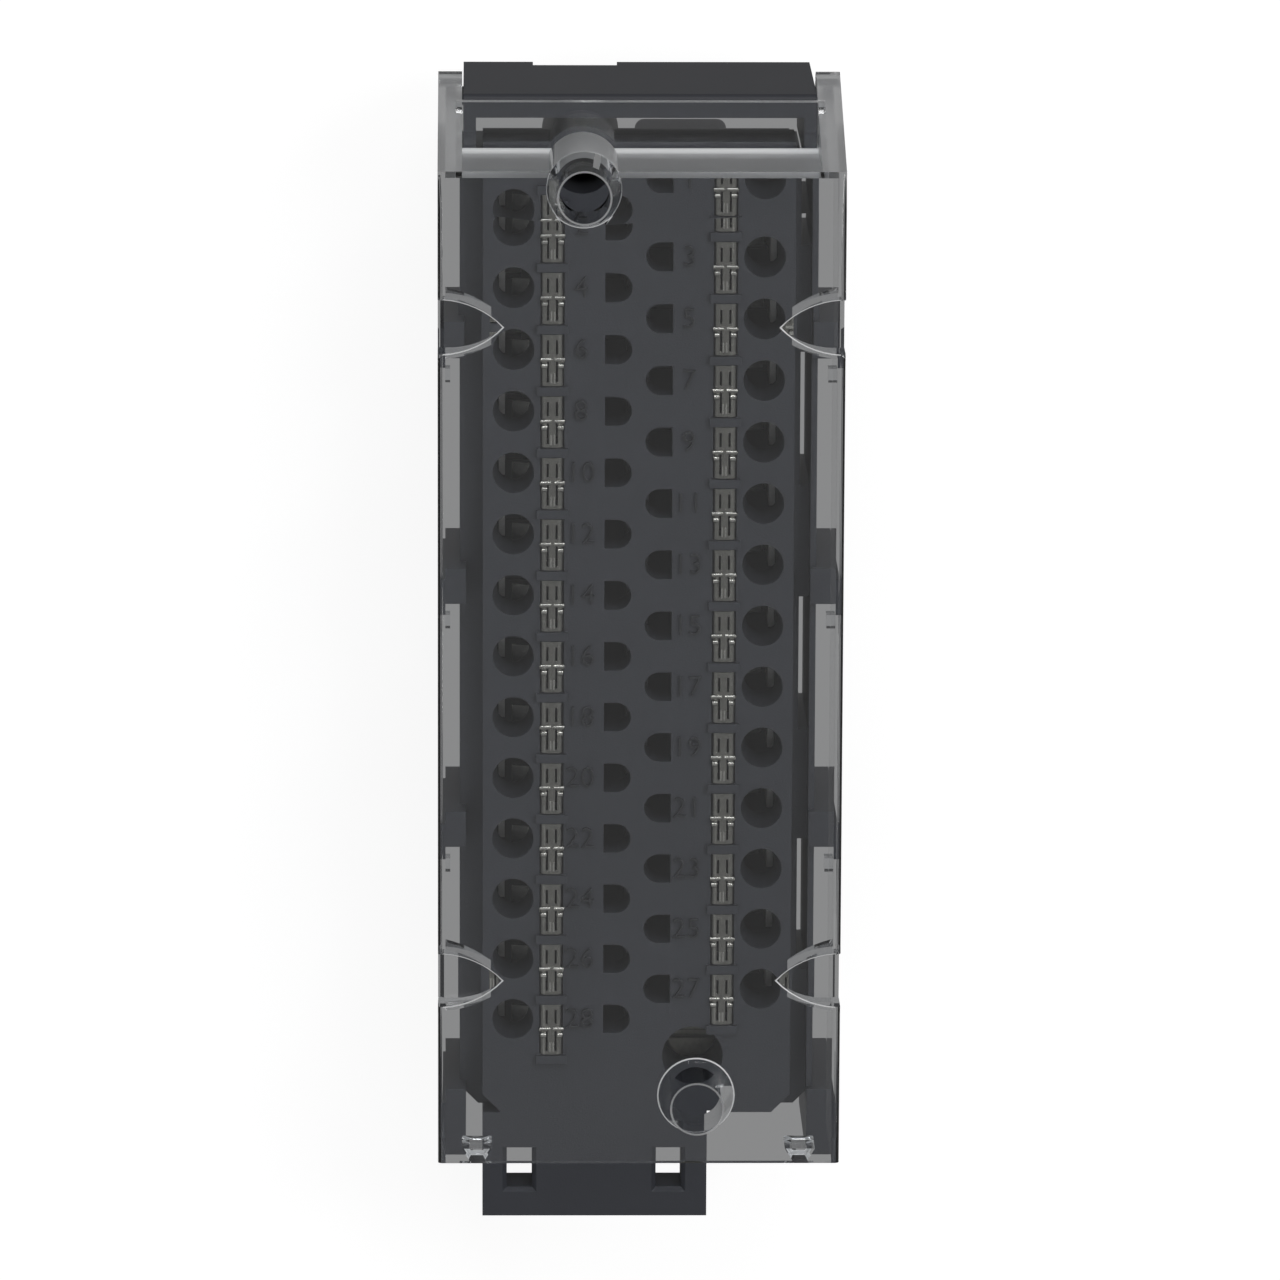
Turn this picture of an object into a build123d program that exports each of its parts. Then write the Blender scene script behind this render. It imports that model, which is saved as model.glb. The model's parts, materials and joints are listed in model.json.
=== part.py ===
from build123d import *
import os
from math import atan2, cos, sin

# A removable spring terminal block: 28 clamping points in two staggered
# columns, under a clear hinged cover. It lies on its plug, wiring side up.
# Millimetres. X runs across the block, Y along it towards the hinge, and Z up
# from the plug to the wiring side. The origin is the middle of its footprint.

os.makedirs("parts", exist_ok=True)

# Width of the host module, and the steps inwards to the core of the block
module_width = 32.0
ear_reach = 1.7
skirt_wall = 0.5
slot_width = 0.8
ledge_width = 0.55

# Terminals. Places along Y are counted from the middle of the rows.
row_count = 14
pitch = 5.0
stagger = 2.5
wire_inset = 2.45
wire_to_clamp = 3.1
clamp_to_receptacle = 1.9
test_flat_x = 2.7

# Depths along Z
plug_depth = 6.5
flange_thickness = 1.5
block_depth = 16.5
front_wall = 4.2

# Block outline
block_top = 36.3
block_bottom = 41.55
corner_cut = 1.5
ledge_drop = 3.0
lip_reach = 1.7
lip_depth = 6.5

# Side skirt, its slots and the ears beyond it
skirt_drop = 1.0
slot_length = 10.9
top_slot_length = 7.6
top_slot_middle = 33.0
ear_height = 2.9
ear_count = 3
ear_spacing = 20.0
first_ear = 22.0
foot_top = 39.6
foot_bottom = 45.1

# Roof plate on two arms over the through gap
roof_under = 40.15
roof_thickness = 1.8
roof_front = 1.5
roof_rear_gap = 0.5
roof_edge_round = 0.5
arm_wall = 1.0
roof_inset = 0.3
notch_x = -5.0
notch_width = 6.8
notch_depth = 1.8

# Hinge
pivot_radius = 0.7
pivot_clearance = 0.06
pivot_below_face = 4.0
pivot_end_gap = 0.1
ear_lobe_radius = 1.9

# Lug plate
lug_right = 5.75
lug_end = 50.35
lug_thickness = 4.6
window_width = 2.05
window_height = 3.5
window_end_wall = 2.35
window_first_x = -9.45
window_spacing = 12.1
window_bevel = 0.35

# Cells in the front wall
funnel_radius = 1.65
bore_radius = 1.3
test_width = 2.15
test_height = 2.35
pocket_width = 1.9
pocket_height = 4.3
pocket_shift = -0.83
bar_width = 2.5
bar_rise = 0.5
cavity_height = 4.2
cavity_inner_x = 0.9
cavity_past_wire = 1.5

# Captive screws
screw_x = 4.55
upper_screw_y = 36.2
lower_screw_y = 36.85
recess_radius = 2.45
head_below_face = 7.2
head_radius = 1.98
head_height = 2.0
head_seat_gap = 0.05
drive_slot_width = 0.6
drive_slot_depth = 0.9
shank_radius = 1.5
shank_clearance = 0.08
tip_above_rear = 1.0
tip_chamfer = 0.35
thread_length = 5.3
relief_radius = 1.3
web_thickness = 2.5
boss_radius = 3.1
flange_hole_radius = 1.9

# Retaining rings in their grooves
ring_radius = 2.15
ring_thickness = 0.7
ring_side_gap = 0.05
ring_bore_gap = 0.05
neck_radius = 1.15
ring_above_flange = 0.35
ring_mouth = 1.9

# Sheet metal of the clamp springs
strip = 0.3
strip_bend = 0.32
spring_width = 4.15
spring_top_width = 1.84
spring_rise = 0.3
blade_depth = 5.3
blade_width = 1.8
blade_shift = 1.0
blade_tip_gap = 0.05
foot_short_of_wire = 0.7
fork_slot_width = 0.17
fork_slot_x = 0.36
upper_slot_length = 1.15
upper_slot_y = 1.05
lower_slot_length = 1.65
lower_slot_y = -0.95
fold_radius = 0.16
fold_y = 0.02
fold_length = 0.86
pip_radius = 0.2
pip_length = 0.42
pip_x = 0.66
pip_y = -0.5
rib_radius = 0.2
rib_length = 0.95
rib_y = -1.5

# Current bars and their receptacles
bar_strip = 0.5
bar_bend = 0.6
bar_strip_width = 3.0
bar_inner_x = 1.6
bar_past_wire = 0.9
bar_height = 9.4
receptacle_width = 1.5
receptacle_height = 2.5
receptacle_wall = 0.28
receptacle_recess = 1.0
receptacle_gap = 0.05

# Plug
plug_side_wall = 2.5
plug_end_wall = 1.0
plug_corner = 0.8

# Clear cover
cover_gap = 0.3
cover_rise = 12.9
cover_top = 37.5
cover_bottom = 42.45
cover_wall = 0.6
plate_thickness = 1.2
hood_bevel_length = 3.0
hood_bevel_drop = 0.6
side_round = 0.4
ear_width = 1.9
ear_skin = 0.8
ear_inner_wall = 0.5
step_rise = 3.0
step_top = 41.55
tube_rise = 4.4
tube_foot_radius = 3.0
tube_tip_radius = 2.15
tube_bore_radius = 2.0
tube_relief_radius = 2.3
scoop_upper_y = 25.25
scoop_lower_y = -27.45
scoop_half = 2.15
scoop_reach = 5.1
scoop_sink = 3.4
scoop_wall = 0.5
hook_inset = 3.1
hook_width = 2.4
hook_tip_width = 1.2
hook_height = 1.0
hook_depth = 4.0
nib_reach = 0.35
nib_height = 1.1
nib_width = 1.6
nib_drop = 0.5

# Values worked out from the sizes above
block_width = module_width - 2 * ear_reach
core_width = block_width - 2 * (skirt_wall + slot_width + ledge_width)
wire_x = core_width / 2 - wire_inset
clamp_x = wire_x - wire_to_clamp
receptacle_x = clamp_x - clamp_to_receptacle
cavity_outer_x = wire_x + cavity_past_wire
bar_outer_x = wire_x + bar_past_wire
foot_reach = wire_x - foot_short_of_wire
plug_half_width = receptacle_x + plug_side_wall
hook_x = module_width / 2 - hook_inset
rear_z = plug_depth + flange_thickness
face_z = rear_z + block_depth
cavity_roof_z = face_z - front_wall
ledge_z = face_z - ledge_drop
pivot_y = roof_under + roof_thickness / 2
pivot_z = face_z - pivot_below_face
hinge_end = pivot_y + ear_lobe_radius
rows_mid = (lug_end - hinge_end) / 2
head_top_z = face_z - head_below_face
head_under_z = head_top_z - head_height
web_top_z = head_under_z - head_seat_gap
web_under_z = web_top_z - web_thickness
bore_fit_radius = shank_radius + shank_clearance
ring_z = rear_z + ring_above_flange
neck_z = ring_z - ring_side_gap
neck_length = ring_thickness + 2 * ring_side_gap
relief_z = tip_above_rear + thread_length
cover_back_z = face_z + cover_gap
cover_front_z = face_z + cover_rise
step_front_z = face_z + step_rise
step_back_z = step_front_z - plate_thickness
roof_back_z = rear_z + roof_rear_gap
roof_front_z = face_z + roof_front
roof_half = block_width / 2 - roof_inset
cover_inner_x = module_width / 2 - cover_wall
ear_inner_x = module_width / 2 - ear_width
ear_hollow_x = ear_inner_x + ear_inner_wall
bevel_facing = cos(2 * atan2(hood_bevel_drop, hood_bevel_length))
last_row = (row_count - 1) * pitch / 2
screw_places = {
    "upper": (-screw_x, rows_mid + upper_screw_y),
    "lower": (screw_x, rows_mid - lower_screw_y),
}
columns = {"left": -1, "right": 1}


def row_y(side, row):
    """Y of a terminal, counted down from the hinge end of its column."""
    return rows_mid + last_row + side * stagger / 2 - row * pitch


def cell_points(side, x):
    """Centres of one column's features at a distance x from the middle."""
    return [(side * x, row_y(side, row)) for row in range(row_count)]


def terminal_number(side, row):
    """Even numbers run down the left column and odd ones down the right."""
    return 2 * row + (2 if side < 0 else 1)


def slab(x_range, y_range, z_range, mode=Mode.ADD):
    """A straight block between two corners, for the builder that is open."""
    (x0, x1), (y0, y1), (z0, z1) = x_range, y_range, z_range
    with Locations(((x0 + x1) / 2, (y0 + y1) / 2, (z0 + z1) / 2)):
        Box(x1 - x0, y1 - y0, z1 - z0, mode=mode)


def both_sides(inner, outer):
    """The two X ranges that mirror each other about the middle plane."""
    return (-outer, -inner), (inner, outer)


def finish(part, name):
    """Labels one piece and writes it to its own file."""
    part.label = name
    export_step(part, f"parts/{name}.step")


def test_hole_outline(side):
    """A D-shaped hole, flat towards the clamp and round towards the middle."""
    radius = test_height / 2
    flat = side * test_flat_x
    turn = side * (test_flat_x - test_width + radius)
    with BuildSketch() as hole:
        with BuildLine():
            Polyline((turn, radius), (flat, radius), (flat, -radius), (turn, -radius))
            ThreePointArc((turn, -radius), (turn - side * radius, 0), (turn, radius))
        make_face()
    return hole.sketch


test_holes = {side: test_hole_outline(side) for side in columns.values()}

# Housing: block, ledges and the skirt on the right
half_block = block_width / 2
half_core = core_width / 2
block_y = (rows_mid - block_bottom, rows_mid + block_top)
with BuildPart() as housing:
    with BuildSketch(Plane.XY.offset(rear_z)) as outline:
        with Locations((0, sum(block_y) / 2)):
            Rectangle(block_width, block_y[1] - block_y[0])
        chamfer(outline.vertices().group_by(Axis.Y)[0], corner_cut)
    extrude(amount=ledge_z - rear_z)
    with BuildSketch(Plane.XY.offset(ledge_z)) as raised:
        with Locations((0, sum(block_y) / 2)):
            Rectangle(core_width, block_y[1] - block_y[0])
        chamfer(raised.vertices().group_by(Axis.Y)[0], corner_cut)
    extrude(amount=face_z - ledge_z)
    slab(
        (-half_core, half_core),
        (block_y[1], block_y[1] + lip_reach),
        (face_z - lip_depth, face_z),
    )
    slab(
        (half_block - skirt_wall, half_block),
        (block_y[0] + corner_cut, block_y[1]),
        (ledge_z, face_z - skirt_drop),
    )

    # Ears that fill out the width of the host module, and the foot below them
    for x_range in both_sides(half_block - skirt_wall, module_width / 2):
        for number in range(ear_count):
            middle = rows_mid + first_ear - number * ear_spacing
            slab(
                x_range,
                (middle - ear_height / 2, middle + ear_height / 2),
                (rear_z, face_z),
            )
        slab(x_range, (rows_mid - foot_bottom, rows_mid - foot_top), (rear_z, face_z))

    # Roof plate on its two arms, with a shallow notch in its rear edge
    slab(
        (-roof_half, roof_half),
        (rows_mid + roof_under, rows_mid + roof_under + roof_thickness),
        (roof_back_z, roof_front_z),
    )
    for x_range in both_sides(roof_half - arm_wall, roof_half):
        slab(x_range, (block_y[1], rows_mid + roof_under), (roof_back_z, roof_front_z))
    roof_edge = housing.edges().filter_by(Axis.X).group_by(Axis.Y)[-1].sort_by(Axis.Z)[-1]
    fillet(roof_edge, roof_edge_round)
    slab(
        (notch_x - notch_width / 2, notch_x + notch_width / 2),
        (rows_mid + roof_under, rows_mid + roof_under + roof_thickness),
        (roof_back_z, roof_back_z + notch_depth),
        mode=Mode.SUBTRACT,
    )

    # Lug plate with two windows, bevelled towards the front
    slab(
        (-half_core, lug_right),
        (rows_mid - lug_end, block_y[0]),
        (face_z - lug_thickness, face_z),
    )
    window_y = rows_mid - lug_end + window_end_wall + window_height / 2
    window_points = [(window_first_x + n * window_spacing, window_y) for n in range(2)]
    with BuildSketch(Plane.XY.offset(face_z)):
        with Locations(*window_points):
            Rectangle(window_width, window_height)
    extrude(amount=-lug_thickness, mode=Mode.SUBTRACT)
    for x, y in window_points:
        with BuildSketch(Plane.XY.offset(face_z - window_bevel)):
            with Locations((x, y)):
                Rectangle(window_width, window_height)
        with BuildSketch(Plane.XY.offset(face_z)):
            with Locations((x, y - window_bevel / 2)):
                Rectangle(window_width + 2 * window_bevel, window_height + window_bevel)
        loft(mode=Mode.SUBTRACT)

    # Bars between the clamp windows, standing proud of the face
    for side in columns.values():
        bar_points = [(x, y + pocket_shift + pitch / 2) for x, y in cell_points(side, clamp_x)]
        bar_points.append((side * clamp_x, row_y(side, row_count) + pocket_shift + pitch / 2))
        with BuildSketch(Plane.XY.offset(face_z)):
            with Locations(*bar_points):
                Rectangle(bar_width, pitch - pocket_height)
        extrude(amount=bar_rise)

    # Cavities from behind, then funnels, clamp windows and test holes in front
    for side in columns.values():
        cavity_width = cavity_outer_x - cavity_inner_x
        cavity_x = (cavity_outer_x + cavity_inner_x) / 2
        with BuildSketch(Plane.XY.offset(rear_z)):
            with Locations(*cell_points(side, cavity_x)):
                Rectangle(cavity_width, cavity_height)
        extrude(amount=cavity_roof_z - rear_z, mode=Mode.SUBTRACT)
        with Locations(*[(x, y, face_z - front_wall / 2) for x, y in cell_points(side, wire_x)]):
            Cone(bore_radius, funnel_radius, front_wall, mode=Mode.SUBTRACT)
        with BuildSketch(Plane.XY.offset(face_z)):
            with Locations(*[(x, y + pocket_shift) for x, y in cell_points(side, clamp_x)]):
                Rectangle(pocket_width, pocket_height)
        extrude(amount=-front_wall, mode=Mode.SUBTRACT)
        with BuildSketch(Plane.XY.offset(face_z)):
            with Locations(*cell_points(side, 0)):
                add(test_holes[side])
        extrude(amount=-front_wall, mode=Mode.SUBTRACT)

    # Screw bosses, recesses and bores, with room behind for the rings
    with BuildSketch(Plane.XY.offset(rear_z)):
        with Locations(screw_places["upper"]):
            Circle(boss_radius)
    extrude(amount=block_depth)
    for place in screw_places.values():
        with BuildSketch(Plane.XY.offset(face_z)):
            with Locations(place):
                Circle(recess_radius)
        extrude(amount=web_top_z - face_z, mode=Mode.SUBTRACT)
        with BuildSketch(Plane.XY.offset(web_top_z)):
            with Locations(place):
                Circle(bore_fit_radius)
        extrude(amount=-web_thickness, mode=Mode.SUBTRACT)
        with BuildSketch(Plane.XY.offset(rear_z)):
            with Locations(place):
                Circle(recess_radius)
        extrude(amount=web_under_z - rear_z, mode=Mode.SUBTRACT)

    # Slots between the core and the skirt
    slot_outer = half_block - skirt_wall
    slot_tops = [
        rows_mid + first_ear - number * ear_spacing - ear_height / 2
        for number in range(ear_count)
    ]
    slot_ranges = [(top - slot_length, top) for top in slot_tops]
    slot_ranges.append(
        (
            rows_mid + top_slot_middle - top_slot_length / 2,
            rows_mid + top_slot_middle + top_slot_length / 2,
        )
    )
    for y_range in slot_ranges:
        slab((slot_outer - slot_width, slot_outer), y_range, (rear_z, ledge_z), mode=Mode.SUBTRACT)

    # Hinge stubs on the ends of the roof
    for side in columns.values():
        with BuildSketch(Plane.YZ.offset(side * roof_half)):
            with Locations((rows_mid + pivot_y, pivot_z)):
                Circle(pivot_radius)
        extrude(amount=side * (module_width / 2 - pivot_end_gap - roof_half))
finish(housing.part, "housing")

# Plug moulding that closes the housing from behind
with BuildPart() as connector_base:
    with BuildSketch(Plane.XY.offset(plug_depth)) as flange:
        with Locations((0, sum(block_y) / 2)):
            Rectangle(core_width, block_y[1] - block_y[0])
        chamfer(flange.vertices().group_by(Axis.Y)[0], corner_cut)
        with Locations(screw_places["upper"]):
            Circle(boss_radius)
    extrude(amount=flange_thickness)
    half_hole = receptacle_height / 2 + receptacle_gap
    long_end = last_row + stagger / 2 + half_hole + plug_end_wall
    short_end = last_row - stagger / 2 + half_hole + plug_end_wall
    with BuildSketch() as plug_outline:
        for side in columns.values():
            bottom = short_end if side > 0 else long_end
            top = long_end if side > 0 else short_end
            with Locations((side * plug_half_width / 2, rows_mid + (top - bottom) / 2)):
                Rectangle(plug_half_width, top + bottom)
        fillet(plug_outline.vertices(), plug_corner)
    extrude(amount=plug_depth)
    for side in columns.values():
        with BuildSketch():
            with Locations(*cell_points(side, receptacle_x)):
                Rectangle(
                    receptacle_width + 2 * receptacle_gap,
                    receptacle_height + 2 * receptacle_gap,
                )
        extrude(amount=rear_z, mode=Mode.SUBTRACT)
    for place in screw_places.values():
        with BuildSketch():
            with Locations(place):
                Circle(flange_hole_radius)
        extrude(amount=rear_z, mode=Mode.SUBTRACT)
finish(connector_base.part, "connector_base")


def build_bar(side):
    """One current bar at row 0 of its column, bent up beside the wire."""
    y = row_y(side, 0)
    foot_z = rear_z + bar_strip / 2
    with BuildPart() as bar:
        with BuildSketch(Plane.XZ.offset(-y)):
            with BuildLine():
                FilletPolyline(
                    (side * bar_inner_x, foot_z),
                    (side * bar_outer_x, foot_z),
                    (side * bar_outer_x, foot_z + bar_height),
                    radius=bar_bend,
                )
            trace(line_width=bar_strip)
        extrude(amount=bar_strip_width / 2, both=True)
        with BuildSketch(Plane.XY.offset(receptacle_recess)):
            with Locations((side * receptacle_x, y)):
                Rectangle(receptacle_width, receptacle_height)
        extrude(amount=rear_z - receptacle_recess)
        with BuildSketch(Plane.XY.offset(receptacle_recess)):
            with Locations((side * receptacle_x, y)):
                Rectangle(
                    receptacle_width - 2 * receptacle_wall,
                    receptacle_height - 2 * receptacle_wall,
                )
        extrude(amount=rear_z - receptacle_recess, mode=Mode.SUBTRACT)
    return bar.part


for column, side in columns.items():
    first_bar = build_bar(side)
    with BuildPart() as bars:
        with Locations(*[(0, -row * pitch, 0) for row in range(row_count)]):
            add(first_bar)
    finish(bars.part, f"contact_bars_{column}")


def build_spring(side):
    """One clamp spring at row 0 of its column, bent from slotted strip."""
    y = row_y(side, 0) + pocket_shift
    half_top = (spring_top_width - strip) / 2
    top_z = face_z + spring_rise - strip / 2
    foot_z = rear_z + bar_strip + strip / 2
    with BuildPart() as spring:
        with BuildSketch(Plane.XZ.offset(-y)):
            with BuildLine():
                FilletPolyline(
                    (side * (wire_x + blade_tip_gap), face_z - blade_depth),
                    (side * (clamp_x + half_top), cavity_roof_z - strip),
                    (side * (clamp_x + half_top), top_z),
                    (side * (clamp_x - half_top), top_z),
                    (side * (clamp_x - half_top), foot_z),
                    (side * foot_reach, foot_z),
                    radius=strip_bend,
                )
            trace(line_width=strip)
        extrude(amount=spring_width / 2, both=True)

        # The legs are narrower inside, and the blade keeps to one side of the wire
        cavity_y = y - pocket_shift
        leg_y = (cavity_y - cavity_height / 2 + strip / 2, cavity_y + cavity_height / 2 - strip / 2)
        for cut_y in ((y - pitch, leg_y[0]), (leg_y[1], y + pitch)):
            slab(
                tuple(sorted((side * cavity_inner_x, side * cavity_outer_x))),
                cut_y,
                (rear_z, cavity_roof_z),
                mode=Mode.SUBTRACT,
            )
        blade_y = cavity_y + side * blade_shift
        blade_x = tuple(sorted((side * (clamp_x + half_top + strip), side * cavity_outer_x)))
        blade_z = (face_z - blade_depth - 2 * strip, cavity_roof_z)
        for cut_y in (
            (y - pitch, blade_y - blade_width / 2),
            (blade_y + blade_width / 2, y + pitch),
        ):
            slab(blade_x, cut_y, blade_z, mode=Mode.SUBTRACT)

        # Fork slots through the top
        top_points = [(side * clamp_x + n * fork_slot_x, y + upper_slot_y) for n in (-1, 1)]
        low_points = [(side * clamp_x + n * fork_slot_x, y + lower_slot_y) for n in (-1, 1)]
        with BuildSketch(Plane.XY.offset(top_z - strip)):
            with Locations(*top_points):
                Rectangle(fork_slot_width, upper_slot_length)
            with Locations(*low_points):
                Rectangle(fork_slot_width, lower_slot_length)
        extrude(amount=2 * strip, mode=Mode.SUBTRACT)

        # Cross folds, pips and the stiffening rib of the tongue
        surface_z = face_z + spring_rise
        fold_x = spring_top_width / 2 - fold_length / 2 + strip / 4
        for n in (-1, 1):
            with Locations((side * clamp_x + n * fold_x, y + fold_y, surface_z)):
                Cylinder(fold_radius, fold_length, rotation=(0, 90, 0))
            with Locations((side * clamp_x + n * pip_x, y + pip_y, surface_z - pip_radius / 2)):
                Cylinder(pip_radius, pip_length, rotation=(0, 90, 0))
        with Locations((side * clamp_x, y + rib_y, surface_z - rib_radius / 2)):
            Cylinder(rib_radius, rib_length, rotation=(90, 0, 0))
    return spring.part


for side in columns.values():
    column_spring = build_spring(side)
    for row in range(row_count):
        with BuildPart() as clamp_spring:
            with Locations((0, -row * pitch, 0)):
                add(column_spring)
        finish(clamp_spring.part, f"clamp_spring_{terminal_number(side, row):02d}")

# Captive screws and their split rings
for name, place in screw_places.items():
    with BuildPart() as screw:
        with BuildSketch(Plane.XY.offset(tip_above_rear)):
            with Locations(place):
                Circle(shank_radius)
        extrude(amount=head_under_z - tip_above_rear)
        chamfer(screw.faces().sort_by(Axis.Z)[0].edges(), tip_chamfer)
        with BuildSketch(Plane.XY.offset(head_under_z)):
            with Locations(place):
                Circle(head_radius)
        extrude(amount=head_height)
        with BuildSketch(Plane.XY.offset(head_top_z)):
            with Locations(place):
                Rectangle(2 * head_radius, drive_slot_width)
        extrude(amount=-drive_slot_depth, mode=Mode.SUBTRACT)
        with BuildSketch(Plane.XY.offset(neck_z)):
            with Locations(place):
                Circle(shank_radius)
                Circle(neck_radius, mode=Mode.SUBTRACT)
        extrude(amount=neck_length, mode=Mode.SUBTRACT)
        with BuildSketch(Plane.XY.offset(relief_z)):
            with Locations(place):
                Circle(shank_radius)
                Circle(relief_radius, mode=Mode.SUBTRACT)
        extrude(amount=neck_z - relief_z, mode=Mode.SUBTRACT)
    finish(screw.part, f"{name}_screw")
    with BuildPart() as retainer:
        with BuildSketch(Plane.XY.offset(ring_z)):
            with Locations(place):
                Circle(ring_radius)
                Circle(neck_radius + ring_bore_gap, mode=Mode.SUBTRACT)
            with Locations((place[0] + ring_radius / 2, place[1])):
                Rectangle(ring_radius, ring_mouth, mode=Mode.SUBTRACT)
        extrude(amount=ring_thickness)
    finish(retainer.part, f"{name}_retainer")


def scoop_solid(side, middle, wall):
    """A pointed scoop, grown by a wall, whose floor falls from its tip to the cover's side."""
    fall = atan2(scoop_sink, scoop_reach)
    tip_x = module_width / 2 - scoop_reach
    floor = Plane(
        origin=(side * tip_x, middle, cover_front_z),
        x_dir=(0, 1, 0),
        z_dir=(side * sin(fall), 0, cos(fall)),
    ).offset(-wall)
    edge_x = side * module_width / 2
    half = scoop_half + wall
    tip = (side * (tip_x - 2 * wall), middle)
    with BuildPart() as solid:
        with BuildSketch(Plane.XY.offset(cover_front_z - wall / 2)):
            with BuildLine():
                TangentArc((edge_x, middle + half), tip, tangent=(-side, 0))
                TangentArc((edge_x, middle - half), tip, tangent=(-side, 0))
                Line((edge_x, middle - half), (edge_x, middle + half))
            make_face()
        extrude(amount=-2 * scoop_sink)
        split(bisect_by=floor, keep=Keep.TOP)
    return solid.part


# Clear cover: hood, step plate, hinge ears, scoops and screwdriver tubes. The skin of an ear
# slants from the edge of the hood to its lobe.
cover_y = (rows_mid - cover_bottom, rows_mid + cover_top)
half_cover = module_width / 2
hood_edge_z = cover_front_z - hood_bevel_drop
slant = atan2(hood_edge_z - pivot_z, pivot_y - cover_top)
skin_radius = ear_lobe_radius - ear_skin
lobe_skin_y = rows_mid + pivot_y + skin_radius * sin(slant)
lobe_skin_z = pivot_z + skin_radius * cos(slant)
scoop_places = [
    (side, rows_mid + middle)
    for side in columns.values()
    for middle in (scoop_upper_y, scoop_lower_y)
]
scoop_walls = [scoop_solid(side, middle, scoop_wall) for side, middle in scoop_places]
scoop_pockets = [scoop_solid(side, middle, 0) for side, middle in scoop_places]
with BuildPart() as hood_room:
    slab(
        (-cover_inner_x, cover_inner_x),
        (cover_y[0] - cover_wall, cover_y[1] - cover_wall),
        (cover_back_z - cover_wall, cover_front_z - plate_thickness),
    )
with BuildPart() as clear_cover:
    with BuildSketch(Plane.YZ):
        with BuildLine():
            Polyline(
                (cover_y[0], cover_back_z),
                (cover_y[1], cover_back_z),
                (cover_y[1], hood_edge_z),
                (cover_y[1] - hood_bevel_length, cover_front_z),
                (cover_y[0], cover_front_z),
                close=True,
            )
        make_face()
    extrude(amount=half_cover, both=True)
    front = clear_cover.faces().filter_by(lambda face: face.normal_at().Z > bevel_facing)
    rim = front.edges().filter_by(lambda edge: abs(edge.center().X) > cover_inner_x)
    fillet(rim, side_round)
    add(hood_room.part, mode=Mode.SUBTRACT)
    slab(
        (-cover_inner_x, cover_inner_x),
        (cover_y[1] - cover_wall, cover_y[1]),
        (cover_back_z, step_back_z),
        mode=Mode.SUBTRACT,
    )
    slab(
        (-ear_hollow_x, ear_hollow_x),
        (cover_y[1] - cover_wall, rows_mid + step_top),
        (step_back_z, step_front_z),
    )
    for side in columns.values():
        with BuildSketch(Plane.YZ.offset(side * ear_inner_x)):
            with Locations((rows_mid + pivot_y, pivot_z)):
                Circle(ear_lobe_radius)
            with Locations((cover_y[1] - cover_wall / 2, (cover_back_z + hood_edge_z) / 2)):
                Rectangle(cover_wall, hood_edge_z - cover_back_z)
            make_hull()
        extrude(amount=side * ear_width)
        with BuildSketch(Plane.YZ.offset(side * ear_hollow_x)):
            with BuildLine():
                Polyline(
                    (lobe_skin_y, pivot_z - ear_lobe_radius),
                    (lobe_skin_y, lobe_skin_z),
                    (cover_y[1] - cover_wall, cover_front_z - plate_thickness),
                    (cover_y[1] - 2 * cover_wall, cover_front_z - plate_thickness),
                    (cover_y[1] - 2 * cover_wall, pivot_z - ear_lobe_radius),
                    close=True,
                )
            make_face()
            with Locations((rows_mid + pivot_y, pivot_z)):
                Circle(ear_lobe_radius, mode=Mode.SUBTRACT)
        extrude(amount=side * (cover_inner_x - ear_hollow_x), mode=Mode.SUBTRACT)
    with BuildSketch(Plane.YZ.offset(-half_cover)):
        with Locations((rows_mid + pivot_y, pivot_z)):
            Circle(pivot_radius + pivot_clearance)
    extrude(amount=module_width, mode=Mode.SUBTRACT)

    # Finger scoops: a pocket wall inside, then the pocket itself
    for pocket_wall in scoop_walls:
        add(pocket_wall)
    for pocket in scoop_pockets:
        add(pocket, mode=Mode.SUBTRACT)

    # Tubes that lead a screwdriver to the screws
    for place in screw_places.values():
        with Locations((place[0], place[1], cover_front_z + tube_rise / 2)):
            Cone(tube_foot_radius, tube_tip_radius, tube_rise)
    with BuildPart(mode=Mode.PRIVATE) as bulge:
        with Locations((*screw_places["upper"], (step_back_z + cover_front_z) / 2)):
            Cylinder(tube_foot_radius, cover_front_z - step_back_z)
        split(bisect_by=Plane.XZ.offset(cover_wall - cover_y[1]), keep=Keep.BOTTOM)
    add(bulge.part)
    for place in screw_places.values():
        with BuildSketch(Plane.XY.offset(cover_front_z + tube_rise)):
            with Locations(place):
                Circle(tube_bore_radius)
        extrude(amount=-tube_rise - plate_thickness, mode=Mode.SUBTRACT)
        with BuildSketch(Plane.XY.offset(cover_front_z - plate_thickness)):
            with Locations(place):
                Circle(tube_relief_radius)
        extrude(amount=step_back_z + plate_thickness - cover_front_z, mode=Mode.SUBTRACT)

    # Corner hooks under the plate and detent nibs on the side walls
    for side in columns.values():
        hook_top = cover_y[0] + hook_height
        with BuildSketch(Plane.XY.offset(cover_front_z - plate_thickness - hook_depth)):
            with BuildLine():
                Polyline(
                    (side * hook_x - hook_width / 2, hook_top),
                    (side * hook_x + hook_width / 2, hook_top),
                    (side * hook_x + hook_tip_width / 2, cover_y[0]),
                    (side * hook_x - hook_tip_width / 2, cover_y[0]),
                    close=True,
                )
            make_face()
        extrude(amount=hook_depth)
        for number in range(ear_count):
            ear_bottom = rows_mid + first_ear - number * ear_spacing - ear_height / 2
            slab(
                tuple(sorted((side * (cover_inner_x - nib_reach), side * cover_inner_x))),
                (ear_bottom - nib_drop - nib_height, ear_bottom - nib_drop),
                (cover_back_z, cover_back_z + nib_width),
            )
finish(clear_cover.part, "clear_cover")
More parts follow.
